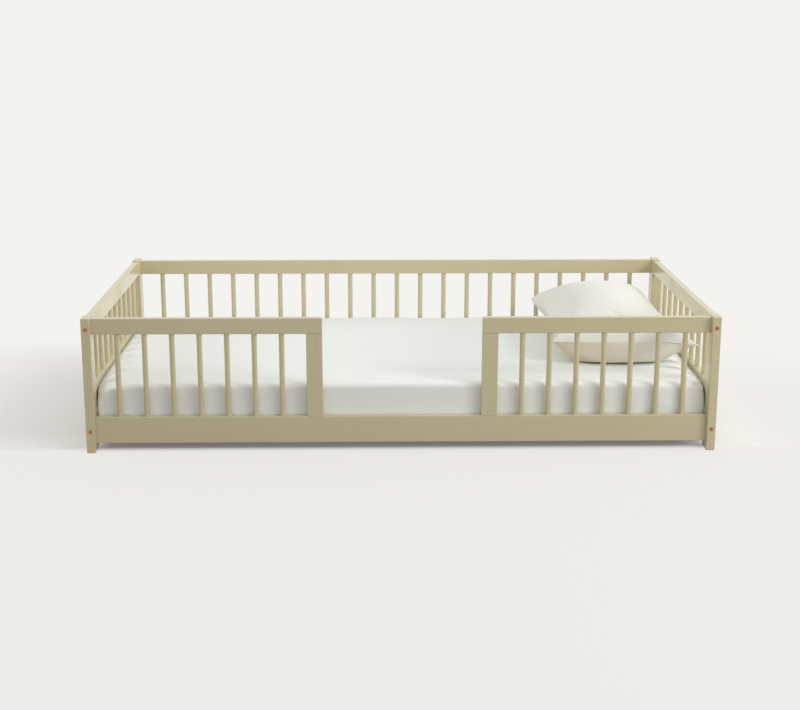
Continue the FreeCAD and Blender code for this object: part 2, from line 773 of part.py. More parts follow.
# Pillow sections, front to back: place along it, width, and swell above and below the seam
PILLOW_SHARES = [
    (-1.0, 1.0, 0.0),
    (-0.93, 0.975, 0.40),
    (-0.72, 0.94, 0.76),
    (-0.36, 0.915, 0.96),
    (0.0, 0.91, 1.0),
    (0.36, 0.915, 0.96),
    (0.72, 0.94, 0.76),
    (0.93, 0.975, 0.40),
    (1.0, 1.0, 0.0),
]


def add_pillow_section(body, number, place_share, width_share, swell_share):
    """A lens of two arcs that meet at the pillow's left and right seams."""
    lift = f"{place_share} * pillow_long / 2"
    sketch = make_sketch(body, f"pillow_section_{number}", "XZ_Plane", lift)
    half = f"{width_share} * pillow_wide / 2"
    ends = [Vector(-value(half), 0, 0), Vector(value(half), 0, 0)]
    for above, swell in ((1, "pillow_rise"), (-1, "pillow_belly")):
        tall = f"({swell_share} * ({swell} - pillow_hem / 2) + pillow_hem / 2)"
        crown = Vector(0, above * value(tall), 0)
        start, end = (ends[1], ends[0]) if above > 0 else (ends[0], ends[1])
        arc = sketch.addGeometry(Part.Arc(start, crown, end))
        radius = f"(({half})^2 + {tall}^2) / (2 * {tall})"
        constrain(sketch, "Radius", arc, formula=radius)
    sketch.addConstraint(Sketcher.Constraint("Coincident", 0, 1, 1, 2))
    sketch.addConstraint(Sketcher.Constraint("Coincident", 0, 2, 1, 1))
    sketch.addConstraint(Sketcher.Constraint("PointOnObject", 0, 1, -1))
    sketch.addConstraint(Sketcher.Constraint("Symmetric", 0, 1, 0, 2, -2))
    constrain(sketch, "DistanceX", 0, 2, 0, 1, formula=f"2 * ({half})")
    return sketch


def add_pillow():
    """A crowned pillow with drawn-in sides, lofted through its sections."""
    body = make_body("pillow")
    sections = []
    for number, shares in enumerate(PILLOW_SHARES, start=1):
        sections.append(add_pillow_section(body, number, *shares))
    loft = body.newObject("PartDesign::AdditiveLoft", "pillow_form")
    loft.Profile = sections[0]
    loft.Sections = sections[1:]
    doc.recompute()
    right_end = f"{inner_half_length} - pillow_from_end"
    back_end = f"{inner_half_width} - pillow_from_back"
    level = f"{sheet_top} + soft_gap + pillow_belly"
    place(body, f"{right_end} - pillow_wide / 2", f"{back_end} - pillow_long / 2", level)
    return body


def add_posts():
    posts = []
    for right, side_name in ((-1, "left"), (1, "right")):
        for back, depth_name in ((-1, "front"), (1, "back")):
            posts.append(add_post(f"post_{depth_name}_{side_name}", right, back))
    return posts


def add_front():
    """The front side rail and the two guards, with the open entry gap between them."""
    side_rail = add_side_rail("front_side_rail", -1)
    pieces = [side_rail]
    reach = "side_rail_tall / 2"
    for side, name in ((-1, "left"), (1, "right")):
        row_middle = times(side, guard_row_middle)
        drill_dowels(side_rail, "top", reach, [(x, "0") for x in upright_dowel_places(side)])
        shift = f"({row_middle})"
        sink_spindles(side_rail, "top", "side_rail_tall", guard_span, "guard_spindles", shift)
        pieces.append(add_guard_top_rail(f"front_{name}_top_rail", side))
        pieces.append(add_upright(f"front_{name}_upright", side))
        row = ("x", guard_span, row_middle)
        label = f"front_{name}_spindles"
        y = f"-({long_rail_plane})"
        pieces.append(add_spindles(label, "guard_spindles", side_rail_top, row, y=y))
    return pieces


def add_back():
    side_rail = add_side_rail("back_side_rail", 1)
    sink_spindles(side_rail, "top", "side_rail_tall", long_rail, "back_spindles")
    top_rail = board("back_top_rail", long_rail, "top_rail_tall")
    levels = ("top_rail_tall / 2 - rail_dowel_edge", "rail_dowel_edge - top_rail_tall / 2")
    for face in ("left", "right"):
        drill_dowels(top_rail, face, f"({long_rail}) / 2", [("0", level) for level in levels])
    sink_spindles(top_rail, "bottom", "top_rail_tall", long_rail, "back_spindles")
    place(top_rail, "0", long_rail_plane, top_rail_middle)
    row = ("x", long_rail, "0")
    spindles = add_spindles("back_spindles", "back_spindles", side_rail_top, row, y=long_rail_plane)
    return [side_rail, top_rail, spindles]


def add_ends():
    pieces = []
    for side, name in ((-1, "left"), (1, "right")):
        pieces.append(add_end_top_rail(f"{name}_end_top_rail", side))
        pieces.append(add_end_guard_rail(f"{name}_end_guard_rail", side))
        pieces.append(add_end_board(f"{name}_end_board", side))
        row = ("y", end_rail, "0")
        x = times(side, end_rail_plane)
        label = f"{name}_end_spindles"
        pieces.append(add_spindles(label, "end_spindles", guard_rail_top, row, x=x))
    return pieces


def add_base():
    """The ledgers on the side rails, and the slats that lie on them."""
    pieces = [add_ledger("front_ledger", -1), add_ledger("back_ledger", 1)]
    for index in range(count("slats")):
        pieces.append(add_slat(index))
    return pieces


parts = add_posts() + add_front() + add_back() + add_ends() + add_base()
parts += [add_rail_dowels(), add_end_dowels(), add_upright_dowels()]
parts += add_bolts_and_nuts() + [add_slat_screws(), add_ledger_screws()]
parts += [add_mattress(), add_fitted_sheet(), add_pillow()]
doc.recompute()

for thing in doc.Objects:
    if "Invalid" in thing.State or "Error" in thing.State:
        raise ValueError(f"{thing.Label} failed: {thing.State}")
for part in parts:
    if part.Shape.isNull() or not part.Shape.isValid():
        raise ValueError(f"{part.Label} has no valid shape")

os.makedirs("parts", exist_ok=True)
for part in parts:
    part.Shape.exportStep(f"parts/{part.Label}.step")
    solids = len(part.Shape.Solids)
    print(f"{part.Label}: {solids} solid(s), {part.Shape.Volume / 1000:.1f} cm3")
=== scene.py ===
import math

import bpy
import numpy as np
from mathutils import Matrix, Vector


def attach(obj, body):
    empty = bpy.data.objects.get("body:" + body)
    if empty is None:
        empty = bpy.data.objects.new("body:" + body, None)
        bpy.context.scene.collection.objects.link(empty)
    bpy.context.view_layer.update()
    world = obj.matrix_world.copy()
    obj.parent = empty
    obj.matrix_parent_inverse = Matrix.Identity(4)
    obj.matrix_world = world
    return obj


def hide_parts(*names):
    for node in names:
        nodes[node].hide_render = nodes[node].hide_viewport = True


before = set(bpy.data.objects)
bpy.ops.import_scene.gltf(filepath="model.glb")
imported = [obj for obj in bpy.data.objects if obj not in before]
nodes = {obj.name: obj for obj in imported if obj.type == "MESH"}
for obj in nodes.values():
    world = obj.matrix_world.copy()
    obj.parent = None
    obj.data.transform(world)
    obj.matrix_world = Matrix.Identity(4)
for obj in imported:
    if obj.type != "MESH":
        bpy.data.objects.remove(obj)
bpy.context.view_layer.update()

print("bed frame loaded:", len(nodes), "wooden and metal parts")


# Four-cornered faces of a grid of point numbers: each face takes a point, the next one in
# its row, and the same two one row on. Turned over, it takes them the other way round.
def gridFaces(grid, turnedOver=False):
    corners = [grid[:-1, :-1], grid[:-1, 1:], grid[1:, 1:], grid[1:, :-1]]
    return np.stack(corners[::-1] if turnedOver else corners, axis=-1).reshape(-1, 4)


# The point numbers round a grid's edge, in order: front, right, back and left.
def gridEdge(grid):
    return np.concatenate([grid[0, :-1], grid[:-1, -1], grid[-1, :0:-1], grid[:0:-1, 0]])


# Puts a mesh, a lamp or a lens into the scene.
def addObject(name, data):
    made = bpy.data.objects.new(name, data)
    bpy.context.scene.collection.objects.link(made)
    return made


# A smooth mesh of points and four-cornered faces. A flat-cloth coordinate for each point
# becomes the piece's own UV map, and a named share a number on each point.
def layMesh(name, points, faces, flatCloth=None, **shares):
    mesh = bpy.data.meshes.new(name)
    mesh.vertices.add(len(points))
    mesh.vertices.foreach_set("co", points.astype(np.float32).ravel())
    mesh.loops.add(faces.size)
    mesh.loops.foreach_set("vertex_index", faces.astype(np.int32).ravel())
    mesh.polygons.add(len(faces))
    mesh.polygons.foreach_set("loop_start", np.arange(0, faces.size, 4, dtype=np.int32))
    mesh.polygons.foreach_set("use_smooth", np.ones(len(faces), bool))
    if flatCloth is not None:
        layer = mesh.uv_layers.new(name="flatCloth")
        layer.data.foreach_set("uv", flatCloth[faces.ravel()].astype(np.float32).ravel())
    mesh.update(calc_edges=True)
    mesh.validate()
    for shareName, share in shares.items():
        numbers = mesh.attributes.new(shareName, "FLOAT", "POINT")
        numbers.data.foreach_set("value", share.astype(np.float32))
    return addObject(name, mesh)


# Smooth step: 3t squared less 2t cubed, with t held between 0 and 1.
def ease(value, low, high):
    t = np.clip((value - low) / (high - low), 0, 1)
    return t * t * (3 - 2 * t)


# Gives a shader node its inputs: plain values, or other nodes' outputs.
def setInputs(node, inputs):
    for key, value in inputs.items():
        if isinstance(value, bpy.types.NodeSocket):
            node.id_data.links.new(value, node.inputs[key])
        else:
            node.inputs[key].default_value = value


# Adds a shader node with its settings and inputs.
def addNode(tree, kind, inputs=None, **settings):
    made = tree.nodes.new("ShaderNode" + kind)
    for key, value in settings.items():
        setattr(made, key, value)
    setInputs(made, inputs or {})
    return made


# One sum on plain numbers and other nodes' outputs.
def calculate(tree, operation, *inputs):
    return addNode(tree, "Math", dict(enumerate(inputs)), operation=operation).outputs[0]


# One sum on places or colours, which are three numbers each; a length is one number.
def calculateThree(tree, operation, *inputs):
    made = addNode(tree, "VectorMath", dict(enumerate(inputs)), operation=operation)
    return made.outputs["Value" if operation == "LENGTH" else "Vector"]


# The greatest of several fields, taken two at a time.
def greatest(tree, field, *others):
    for other in others:
        field = calculate(tree, "MAXIMUM", field, other)
    return field


# Carries a value from one pair of levels to another, and never past it.
def remap(tree, value, low, high, first=0.0, last=1.0, kind="LINEAR"):
    return addNode(tree, "MapRange", {
        "Value": value, "From Min": low, "From Max": high, "To Min": first, "To Max": last},
        interpolation_type=kind).outputs[0]


# The same by a smooth step, so it is level at both ends.
def smoothStep(tree, value, *levels):
    return remap(tree, value, *levels, kind="SMOOTHSTEP")


# Two colours mixed by a field between 0 and 1.
def tint(tree, field, first, second):
    first, second = [(*side, 1) if isinstance(side, tuple) else side for side in (first, second)]
    mixer = addNode(tree, "Mix", {0: field, 6: first, 7: second}, data_type="RGBA")
    return mixer.outputs[2]


# Soft noise between 0 and 1 at each place.
def noise(tree, place, scale, detail, roughness=0.5, output=0):
    inputs = {"Vector": place, "Scale": scale, "Detail": detail, "Roughness": roughness}
    return addNode(tree, "TexNoise", inputs).outputs[output]


# Where each point lies on its piece.
def piecePlace(tree):
    return addNode(tree, "TexCoord").outputs["Object"]


# A place times its own number in each direction.
def stretch(tree, place, scale):
    return addNode(tree, "Mapping", {"Vector": place, "Scale": scale}).outputs[0]


# A place times one number along the grain and another across it.
def grainPlace(tree, place, grainAxis, along, across):
    return stretch(tree, place, [along if axis == grainAxis else across for axis in "xyz"])


# Relief from a height field, laid over another relief where one is given.
def relief(tree, height, distance, strength=1.0, under=None):
    inputs = {"Height": height, "Distance": distance, "Strength": strength}
    if under is not None:
        inputs["Normal"] = under
    return addNode(tree, "Bump", inputs).outputs[0]


# A new material and its node tree.
def startFinish(name):
    finish = bpy.data.materials.new(name)
    finish.use_nodes = True
    return finish, finish.node_tree


# Gives a material's main shader its inputs, plain numbers and fields alike.
def endFinish(finish, inputs):
    setInputs(finish.node_tree.nodes["Principled BSDF"], inputs)
    return finish


# The camera stands where the photograph was taken from.
camera = {
    "place": (-0.0908, -4.5348, 1.3919),  # metres, in front of the bed and a little left
    "turn": -0.0205,  # to the right, radians
    "tilt": 0.2313,  # downwards
    "roll": 0.0017,
    "focalPixels": 1363.9,
    "imageWide": 800,
    "sensorWide": 36,  # millimetres
    "rise": -0.05,  # lens shift, in image widths
}


# The lens is as long as its focal length in pixels times the sensor's width over the
# picture's. Forward is the level view line, turned and then tilted down; right stays level,
# up is right crossed with forward, and both are rolled about forward by the same angle.
def placeCamera(values):
    turn, tilt, roll = values["turn"], values["tilt"], values["roll"]
    spin = Matrix.Rotation(turn, 3, "Z")
    forward = spin @ Vector((0, math.cos(tilt), -math.sin(tilt)))
    right = spin @ Vector((1, 0, 0))
    up = right.cross(forward)
    rolledRight = right * math.cos(roll) + up * math.sin(roll)
    rolledUp = up * math.cos(roll) - right * math.sin(roll)
    lens = bpy.data.cameras.new("photoCamera")
    lens.sensor_fit = "HORIZONTAL"
    lens.sensor_width = values["sensorWide"]
    lens.lens = values["focalPixels"] * values["sensorWide"] / values["imageWide"]
    lens.shift_y = values["rise"]
    lens.dof.use_dof = False
    eye = addObject("photoCamera", lens)
    axes = Matrix((rolledRight, rolledUp, -forward)).transposed()
    eye.matrix_world = Matrix.Translation(values["place"]) @ axes.to_4x4()
    bpy.context.scene.camera = eye


placeCamera(camera)
bpy.context.scene.view_settings.view_transform = "Standard"
print("camera placed")


# One warm lamp in front to the right gives the shadows, three wide ones soften them.
lamps = {
    # name: where it hangs, what it points at, size in metres, watts, colour if not white
    "keyLamp": ((3.6, -2.35, 2.5), (0, 0, 0.2), (0.95, 0.95), 47, (1.0, 0.99, 0.97)),
    "frontRightLamp": ((3.0, -3.3, 2.0), (0, 0, 0.25), (1.8, 1.6), 25),
    "rightLamp": ((4.4, 0.7, 1.2), (0, 0, 0.25), (1.6, 1.3), 72),
    "leftLamp": ((-3.9, 0.4, 2.2), (0, 0, 0.25), (2.4, 2.0), 38),
}
room = {
    "seen": (0.905, 0.896, 0.863),  # what the camera and reflections see behind the bed
    "seenBefore": (0.840, 0.831, 0.799),  # and on the floor before it
    "glow": (1.0, 0.995, 0.985),  # soft light from all round
    "glowStrength": 0.735,
    "floorSize": 40.0,
    "floorColour": (0.80, 0.795, 0.785),
    "floorBounce": (0.27, 0.25, 0.225),  # the light it throws back onto the bed
    "fade": (1.15, 2.8),  # the floor turns into the backdrop between these two distances
    "fadeBehind": (0.5, 1.0),  # and sooner behind the bed
    "fadeBefore": (-0.415, -0.482, 0.0, 0.88),  # before it, up to a share, the last number
    "fadeUnder": (-0.27, -0.38, 0.0, 0.17),  # a little already under the front rail
    "fadeRight": (1.02, 1.30, 0.0, 0.90),  # and to the right of it
    "turn": (-0.1, 1.1),  # from the near colour to the far one, front to back
    "turnFar": (3.5, 9.0),  # and with the distance from the bed
}


# An oval lamp whose face looks along the target less its own place.
def hangLamp(name, place, target, size, watts, colour=(1.0, 1.0, 1.0)):
    lamp = bpy.data.lights.new(name, "AREA")
    lamp.shape = "ELLIPSE"
    lamp.size, lamp.size_y = size
    lamp.energy = watts
    lamp.color = colour
    holder = addObject(name, lamp)
    holder.location = place
    holder.rotation_euler = (Vector(target) - Vector(place)).to_track_quat("-Z", "Y").to_euler()


# One where a ray comes from the camera, a reflection or clear material, else zero.
def seenRay(tree):
    path = addNode(tree, "LightPath")
    kinds = ("Camera", "Glossy", "Transmission")
    return greatest(tree, *[path.outputs[f"Is {kind} Ray"] for kind in kinds])


# The room gives a soft glow from all round, but a seen ray meets the backdrop's plain
# colour instead.
def lightRoom(values):
    world = bpy.data.worlds.new("paleRoom")
    world.use_nodes = True
    tree = world.node_tree
    glow = tree.nodes["Background"]
    setInputs(glow, {"Color": (*values["glow"], 1), "Strength": values["glowStrength"]})
    seen = addNode(tree, "Background", {"Color": (*values["seen"], 1), "Strength": 1.0})
    either = addNode(tree, "MixShader",
                     {0: seenRay(tree), 1: glow.outputs[0], 2: seen.outputs[0]})
    setInputs(tree.nodes["World Output"], {"Surface": either.outputs[0]})
    bpy.context.scene.world = world


# A wide square that is matt near the bed and turns into the backdrop's colour by the
# greatest of five smooth steps: of the distance from the bed, of the way back, of the way
# forward twice, and of the way right. The backdrop's own colour goes from near to far by
# the greater of two more.
def layFloor(values):
    half = values["floorSize"] / 2
    points = np.array([(-half, -half, 0), (half, -half, 0), (half, half, 0), (-half, half, 0)])
    floor = layMesh("paleFloor", points, np.array([[0, 1, 2, 3]]))
    finish, tree = startFinish("paleFloorPaint")
    seen = seenRay(tree)
    endFinish(finish, {
        "Base Color": tint(tree, seen, values["floorBounce"], values["floorColour"]),
        "Roughness": 0.9, "Specular IOR Level": 0.1})
    where = piecePlace(tree)
    reach = calculateThree(tree, "LENGTH", where)
    across, depth, _ = addNode(tree, "SeparateXYZ", {0: where}).outputs
    share = greatest(tree, *[smoothStep(tree, way, *values[key]) for way, key in (
        (reach, "fade"), (depth, "fadeBehind"), (depth, "fadeBefore"), (depth, "fadeUnder"),
        (across, "fadeRight"))])
    far = greatest(tree, smoothStep(tree, depth, *values["turn"]),
                   smoothStep(tree, reach, *values["turnFar"]))
    backdrop = addNode(tree, "Emission", {
        "Color": tint(tree, far, values["seenBefore"], values["seen"]), "Strength": 1.0})
    mixed = addNode(tree, "MixShader", {
        0: calculate(tree, "MULTIPLY", share, seen),
        1: tree.nodes["Principled BSDF"].outputs[0], 2: backdrop.outputs[0]})
    setInputs(tree.nodes["Material Output"], {"Surface": mixed.outputs[0]})
    floor.data.materials.append(finish)


for lampName, lampValues in lamps.items():
    hangLamp(lampName, *lampValues)
lightRoom(room)
layFloor(room)
print("lamps and floor ready")


# The frame is painted, its hidden slats are bare wood.
lacquer = {
    "light": (0.595, 0.526, 0.331),
    "dark": (0.571, 0.503, 0.313),
    "toneFrom": (0.12, 0.40),  # grain times drift, from the dark tone to the light one
    "grainAcross": 210.0,  # how fine the grain is
    "grainAlong": 5.0,
    "grainDepth": 0.00007,
    "driftScale": 3.2,  # of the tone and the gloss
    "peelScale": 480.0,  # sprayed paint's fine ripple
    "peelDepth": 0.00003,
    "rough": (0.20, 0.27),
}


# Sprayed satin lacquer over pine. Colour drifts slowly between two close tones, the wood's
# long grain shows through as a shallow relief, and a finer ripple lies over it.
def lacquerFinish(name, grainAxis, values):
    finish, tree = startFinish(name)
    where = piecePlace(tree)
    drawn = grainPlace(tree, where, grainAxis, values["grainAlong"], values["grainAcross"])
    grain = noise(tree, drawn, 1.0, 3.0, 0.6)
    peel = noise(tree, where, values["peelScale"], 1.0)
    drift = noise(tree, where, values["driftScale"], 2.0)
    tone = remap(tree, calculate(tree, "MULTIPLY", grain, drift), *values["toneFrom"])
    wood = relief(tree, grain, values["grainDepth"])
    return endFinish(finish, {
        "Base Color": tint(tree, tone, values["dark"], values["light"]),
        "Roughness": remap(tree, drift, 0.0, 1.0, *values["rough"]),
        "Specular IOR Level": 0.5, "Coat Weight": 0.45, "Coat Roughness": 0.10,
        "Normal": relief(tree, peel, values["peelDepth"], under=wood)})


pine = {
    "early": (0.72, 0.565, 0.375),  # pale wood between the rings
    "late": (0.47, 0.315, 0.165),  # dark ring lines
    "ringScale": 4.75,
    "ringShare": (0.45, 1.0, 0.0, 0.55),  # where in a ring it darkens, and how far
    "ringLean": (0.75, 0.75, 1.6),
    "bendScale": 9.0,
    "bend": (0.054, 0.054, 0.054),  # how far slow noise bends the rings
    "stretch": 0.12,  # of that noise along the board
    "fibreAcross": 900.0,
    "fibreAlong": 14.0,
    "streak": (0.3, 0.7, 0.93, 1.05),  # fibres darken and lighten the wood
    "fibreDepth": 0.0002,
    "knot": (0.20, 0.10, 0.045),
    "knotScale": 4.2,
    "knotStretch": 0.55,
    "knotSize": (0.030, 0.062, 0.85, 0.0),  # its edge, and its share inside and outside
    "rough": (0.5, 0.72),
}


# Bare planed softwood. Rings are a sawtooth of the distance across the board, bent by slow
# noise; knots are small round cells; fine fibres along the board are a shallow relief.
def pineFinish(name, grainAxis, values):
    finish, tree = startFinish(name)
    where = piecePlace(tree)
    drawn = grainPlace(tree, where, grainAxis, values["stretch"], 1.0)
    slow = noise(tree, drawn, values["bendScale"], 2.0, 0.45, "Color")
    bent = calculateThree(tree, "MULTIPLY_ADD", slow, values["bend"], drawn)
    rings = addNode(tree, "TexWave", {
        "Vector": calculateThree(tree, "MULTIPLY", bent, values["ringLean"]),
        "Scale": values["ringScale"], "Distortion": 3.0, "Detail": 2.0, "Detail Scale": 1.2},
        wave_type="BANDS", bands_direction="DIAGONAL", wave_profile="SAW").outputs[0]
    fibrePlace = grainPlace(tree, where, grainAxis, values["fibreAlong"], values["fibreAcross"])
    fibre = noise(tree, fibrePlace, 1.0, 2.0)
    knots = addNode(tree, "TexVoronoi", {
        "Vector": grainPlace(tree, where, grainAxis, values["knotStretch"], 1.0),
        "Scale": values["knotScale"]})
    knotShare = smoothStep(tree, knots.outputs["Distance"], *values["knotSize"])
    ringShare = remap(tree, rings, *values["ringShare"])
    wood = tint(tree, ringShare, values["early"], values["late"])
    streaked = calculateThree(tree, "MULTIPLY", wood, remap(tree, fibre, *values["streak"]))
    return endFinish(finish, {
        "Base Color": tint(tree, knotShare, streaked, values["knot"]),
        "Roughness": remap(tree, fibre, 0.0, 1.0, *values["rough"]),
        "Specular IOR Level": 0.35, "Normal": relief(tree, fibre, values["fibreDepth"], 0.8)})


plating = {
    # name: its two colours, and the smoothest and roughest it gets
    "copperPlate": ((0.70, 0.42, 0.22), (0.50, 0.25, 0.12), (0.30, 0.46)),
    "zincPlate": ((0.66, 0.67, 0.68), (0.50, 0.51, 0.53), (0.30, 0.48)),
    "yellowZincPlate": ((0.72, 0.62, 0.40), (0.55, 0.47, 0.30), (0.30, 0.45)),
}


# Plated metal: clouds in the colour and the roughness, fine turning marks in the relief.
def platedFinish(name):
    colour, shade, rough = plating[name]
    finish, tree = startFinish(name)
    where = piecePlace(tree)
    cloud = noise(tree, where, 260.0, 3.0)
    marks = noise(tree, where, 2600.0, 1.0)
    return endFinish(finish, {
        "Base Color": tint(tree, cloud, colour, shade), "Metallic": 1.0,
        "Roughness": remap(tree, cloud, 0.0, 1.0, *rough),
        "Normal": relief(tree, marks, 0.00002, 0.6)})


# Painted shade in the bolts' key sockets.
boltSocketShade = {
    "sideways": 0.966,  # of the bolts' axes, from the middle of the bed
    "heights": (0.394, 0.0695),
    "edge": (0.00306, 0.00396, 1.0, 0.0),  # fully dark within the first, not past the second
    "colour": (0.28, 0.082, 0.052),
}


# Paints shade into a round spot on each bolt's axis, where the key goes in, by the distance
# from the nearer axis: the length of the way sideways and up.
def paintSocketShade(finish, values):
    tree = finish.node_tree
    plated = tree.nodes["Principled BSDF"].inputs["Base Color"].links[0].from_socket
    sideways, _, height = addNode(tree, "SeparateXYZ", {0: piecePlace(tree)}).outputs
    beside = calculate(tree, "SUBTRACT", calculate(tree, "ABSOLUTE", sideways), values["sideways"])
    away = []
    for axisHeight in values["heights"]:
        above = calculate(tree, "SUBTRACT", height, axisHeight)
        arm = addNode(tree, "CombineXYZ", {0: beside, 1: above}).outputs[0]
        away.append(calculateThree(tree, "LENGTH", arm))
    inside = remap(tree, calculate(tree, "MINIMUM", *away), *values["edge"])
    return endFinish(finish, {"Base Color": tint(tree, inside, plated, values["colour"])})


# The cloth's own flat coordinate, whole and as its two numbers.
def clothPlace(tree):
    flat = addNode(tree, "UVMap", uv_map="flatCloth").outputs[0]
    split = addNode(tree, "SeparateXYZ", {0: flat})
    return flat, split.outputs[0], split.outputs[1]


# Ribs: the size of the sine of a place times a quickness.
def ribs(tree, place, quickness):
    wave = calculate(tree, "SINE", calculate(tree, "MULTIPLY", place, quickness))
    return calculate(tree, "ABSOLUTE", wave)


cotton = {
    "yarnScale": (240.0, 1300.0, 1.0),  # uneven yarn, much longer than it is wide
    "driftScale": 6.0,
    "weaveShare": 0.30,  # of the threads' relief beside the yarn's
    "toneFrom": (0.15, 0.65),
    "depth": 0.00018,
}


# Woven cotton from the cloth's own flat coordinate: threads are two crossed sine waves,
# their product sets the relief and a faint tone, and slow noise uneven yarn. By a named
# share it turns to a second colour: painted shade on the sheet, as deep as a crease lies,
# and on the pillow's underside the cream that its painted shade lifts to.
def cottonFinish(name, light, shade, threadsPerMetre, sheen, shareName=None, second=None):
    finish, tree = startFinish(name)
    flat, along, across = clothPlace(tree)
    weave = calculate(tree, "MULTIPLY", ribs(tree, along, threadsPerMetre * math.pi),
                      ribs(tree, across, threadsPerMetre * math.pi))
    yarn = noise(tree, stretch(tree, flat, cotton["yarnScale"]), 1.0, 2.0)
    drift = noise(tree, flat, cotton["driftScale"], 2.0)
    uneven = calculate(tree, "MULTIPLY", yarn, drift)
    both = calculate(tree, "MULTIPLY_ADD", weave, cotton["weaveShare"], uneven)
    colour = tint(tree, remap(tree, both, *cotton["toneFrom"]), shade, light)
    # the named share paints the second colour over the woven tone: painted shade, or its lifting
    if shareName:
        share = addNode(tree, "Attribute", attribute_name=shareName).outputs["Fac"]
        colour = tint(tree, share, colour, second)
    return endFinish(finish, {
        "Base Color": colour, "Roughness": 0.86, "Specular IOR Level": 0.25,
        "Sheen Weight": sheen, "Sheen Roughness": 0.4,
        "Normal": relief(tree, both, cotton["depth"], 0.55)})


# Quilted knit cover: diamonds from two sets of diagonal waves, stitched where either wave
# is at zero, over a fine knit.
def knitFinish(name, light, shade, diamondTurns=34.0, puffiness=0.4, knitScale=700.0):
    finish, tree = startFinish(name)
    flat, along, across = clothPlace(tree)
    waves = [ribs(tree, calculate(tree, kind, along, across), diamondTurns)
             for kind in ("ADD", "SUBTRACT")]
    soft = calculate(tree, "POWER", calculate(tree, "MINIMUM", *waves), puffiness)
    knit = addNode(tree, "TexVoronoi", {"Vector": flat, "Scale": knitScale})
    quilt = relief(tree, soft, 0.003, 0.7)
    # painted shade: the colour darkens towards the stitches, where the quilt dips, and is lightest
    # on each puff
    return endFinish(finish, {
        "Base Color": tint(tree, soft, shade, light),
        "Roughness": 0.9, "Specular IOR Level": 0.2, "Sheen Weight": 0.2,
        "Normal": relief(tree, knit.outputs["Distance"], 0.0003, 0.5, quilt)})


# Puts a finish on parts of the frame, in place of their plain one.
def finishParts(finish, names):
    for name in names:
        for slot in nodes[name].material_slots:
            slot.material = finish


finishParts(lacquerFinish("oliveSandLacquerLengthwise", "x", lacquer), [
    "front_side_rail", "back_side_rail", "back_top_rail", "front_left_top_rail",
    "front_right_top_rail"])
finishParts(lacquerFinish("oliveSandLacquerCrosswise", "y", lacquer), [
    side + part for side in ("left", "right")
    for part in ("_end_top_rail", "_end_guard_rail", "_end_board")])
finishParts(lacquerFinish("oliveSandLacquerUpright", "z", lacquer), [
    "post_front_left", "post_back_left", "post_front_right", "post_back_right",
    "front_left_upright", "front_right_upright", "front_left_spindles",
    "front_right_spindles", "back_spindles", "left_end_spindles", "right_end_spindles"])
finishParts(pineFinish("planedPineCrosswise", "y", pine),
            [f"slat_{number:02d}" for number in range(1, 15)])
finishParts(pineFinish("planedPineLengthwise", "x", pine), ["front_ledger", "back_ledger"])
finishParts(pineFinish("turnedBeech", "x", {**pine, "early": (0.66, 0.50, 0.33)}),
            ["rail_dowels", "end_dowels", "upright_dowels"])
finishParts(paintSocketShade(platedFinish("copperPlate"), boltSocketShade), ["post_bolts"])
finishParts(platedFinish("zincPlate"), ["barrel_nuts"])
finishParts(platedFinish("yellowZincPlate"), ["slat_screws", "ledger_screws"])
print("wood and metal finished")


# The mattress and its fitted sheet come next.
bedding = {
    "halfLong": 0.9506,  # sheet's outside, from the middle
    "halfWide": 0.4486,
    "top": 0.2118,
    "foot": 0.0896,
    "corner": 0.013,  # upright corners, below
    "cornerTop": 0.034,  # added to that radius at the upper edge
    "cornerFrom": 0.140,  # height from which they grow rounder
    "crownSide": (0.020, 0.018, 2.2),  # rounded upper edge of the long sides: inwards,
    "crownEnd": (0.056, 0.019, 1.25),  # downwards, fullness; and the same at the ends
    "droop": (0.013, 0.012, 0.012, 0.012),  # of each upper corner, from front left
    "droopReach": (0.085, 0.055, 0.060, 0.060),
    "droopFrom": (0.12, 0.205),  # heights between which it grows
    "bulge": 0.0042,  # of the front, beside the pillow
    "bulgePlace": 0.83,
    "bulgeReach": 0.10,
    "bulgeDepth": (0.40, 0.445),
    "bulgeHeights": (0.114, 0.135, 0.19, 0.212),  # it grows, and then eases off
    "lean": 0.0036,  # of both ends against the end rails, but not against the posts
    "leanFrom": (0.90, 0.945),
    "leanPosts": (0.37, 0.425),
    "leanHeights": (0.100, 0.125),
    "footRound": 0.012,
    "hem": 0.090,  # turned in underneath
    "cellsLong": 134,
    "cellsWide": 216,
    "cornerCells": 6,
    "profileRows": (13, 10, 4, 5),  # round the crown, down the side, round the foot, under
    "endCloseness": 0.6,  # how much closer the cells lie near the ends
    "clothThick": 0.0009,
    "padInset": 0.0022,  # sheet's outside to the mattress
    "padUnder": 0.10,  # how far the mattress's rows run in underneath
    "swell": (0.0009, 7, 5),  # the cloth's slow swell: height, number of waves, seed
    "pillowPatch": (0.19, 0.27),  # half the patch that the pillow keeps flat, and
    "pillowEdge": (0.75, 1.12),  # shares of it between which the folds grow
    "pillowFolds": 0.12,  # share of the folds left under it,
    "sideFolds": 0.40,  # and down the sides
    # painted crease shade on the sheet: how much wider than a crease's relief, and the crease
    # depths over which it darkens the colour
    "hollowWiden": 1.45,  # a crease's shade is wider than its relief
    "hollowFrom": (0.0008, 0.0036),
    "gather": 0.0009,  # height of the gathers at the lower corners
    "gatherDrop": (0.05, 0.08),  # how far below the top they start, and grow over
    "gatherPlace": (0.95, 0.45),
    "gatherReach": 0.13,
    "gatherWaves": 190,
}


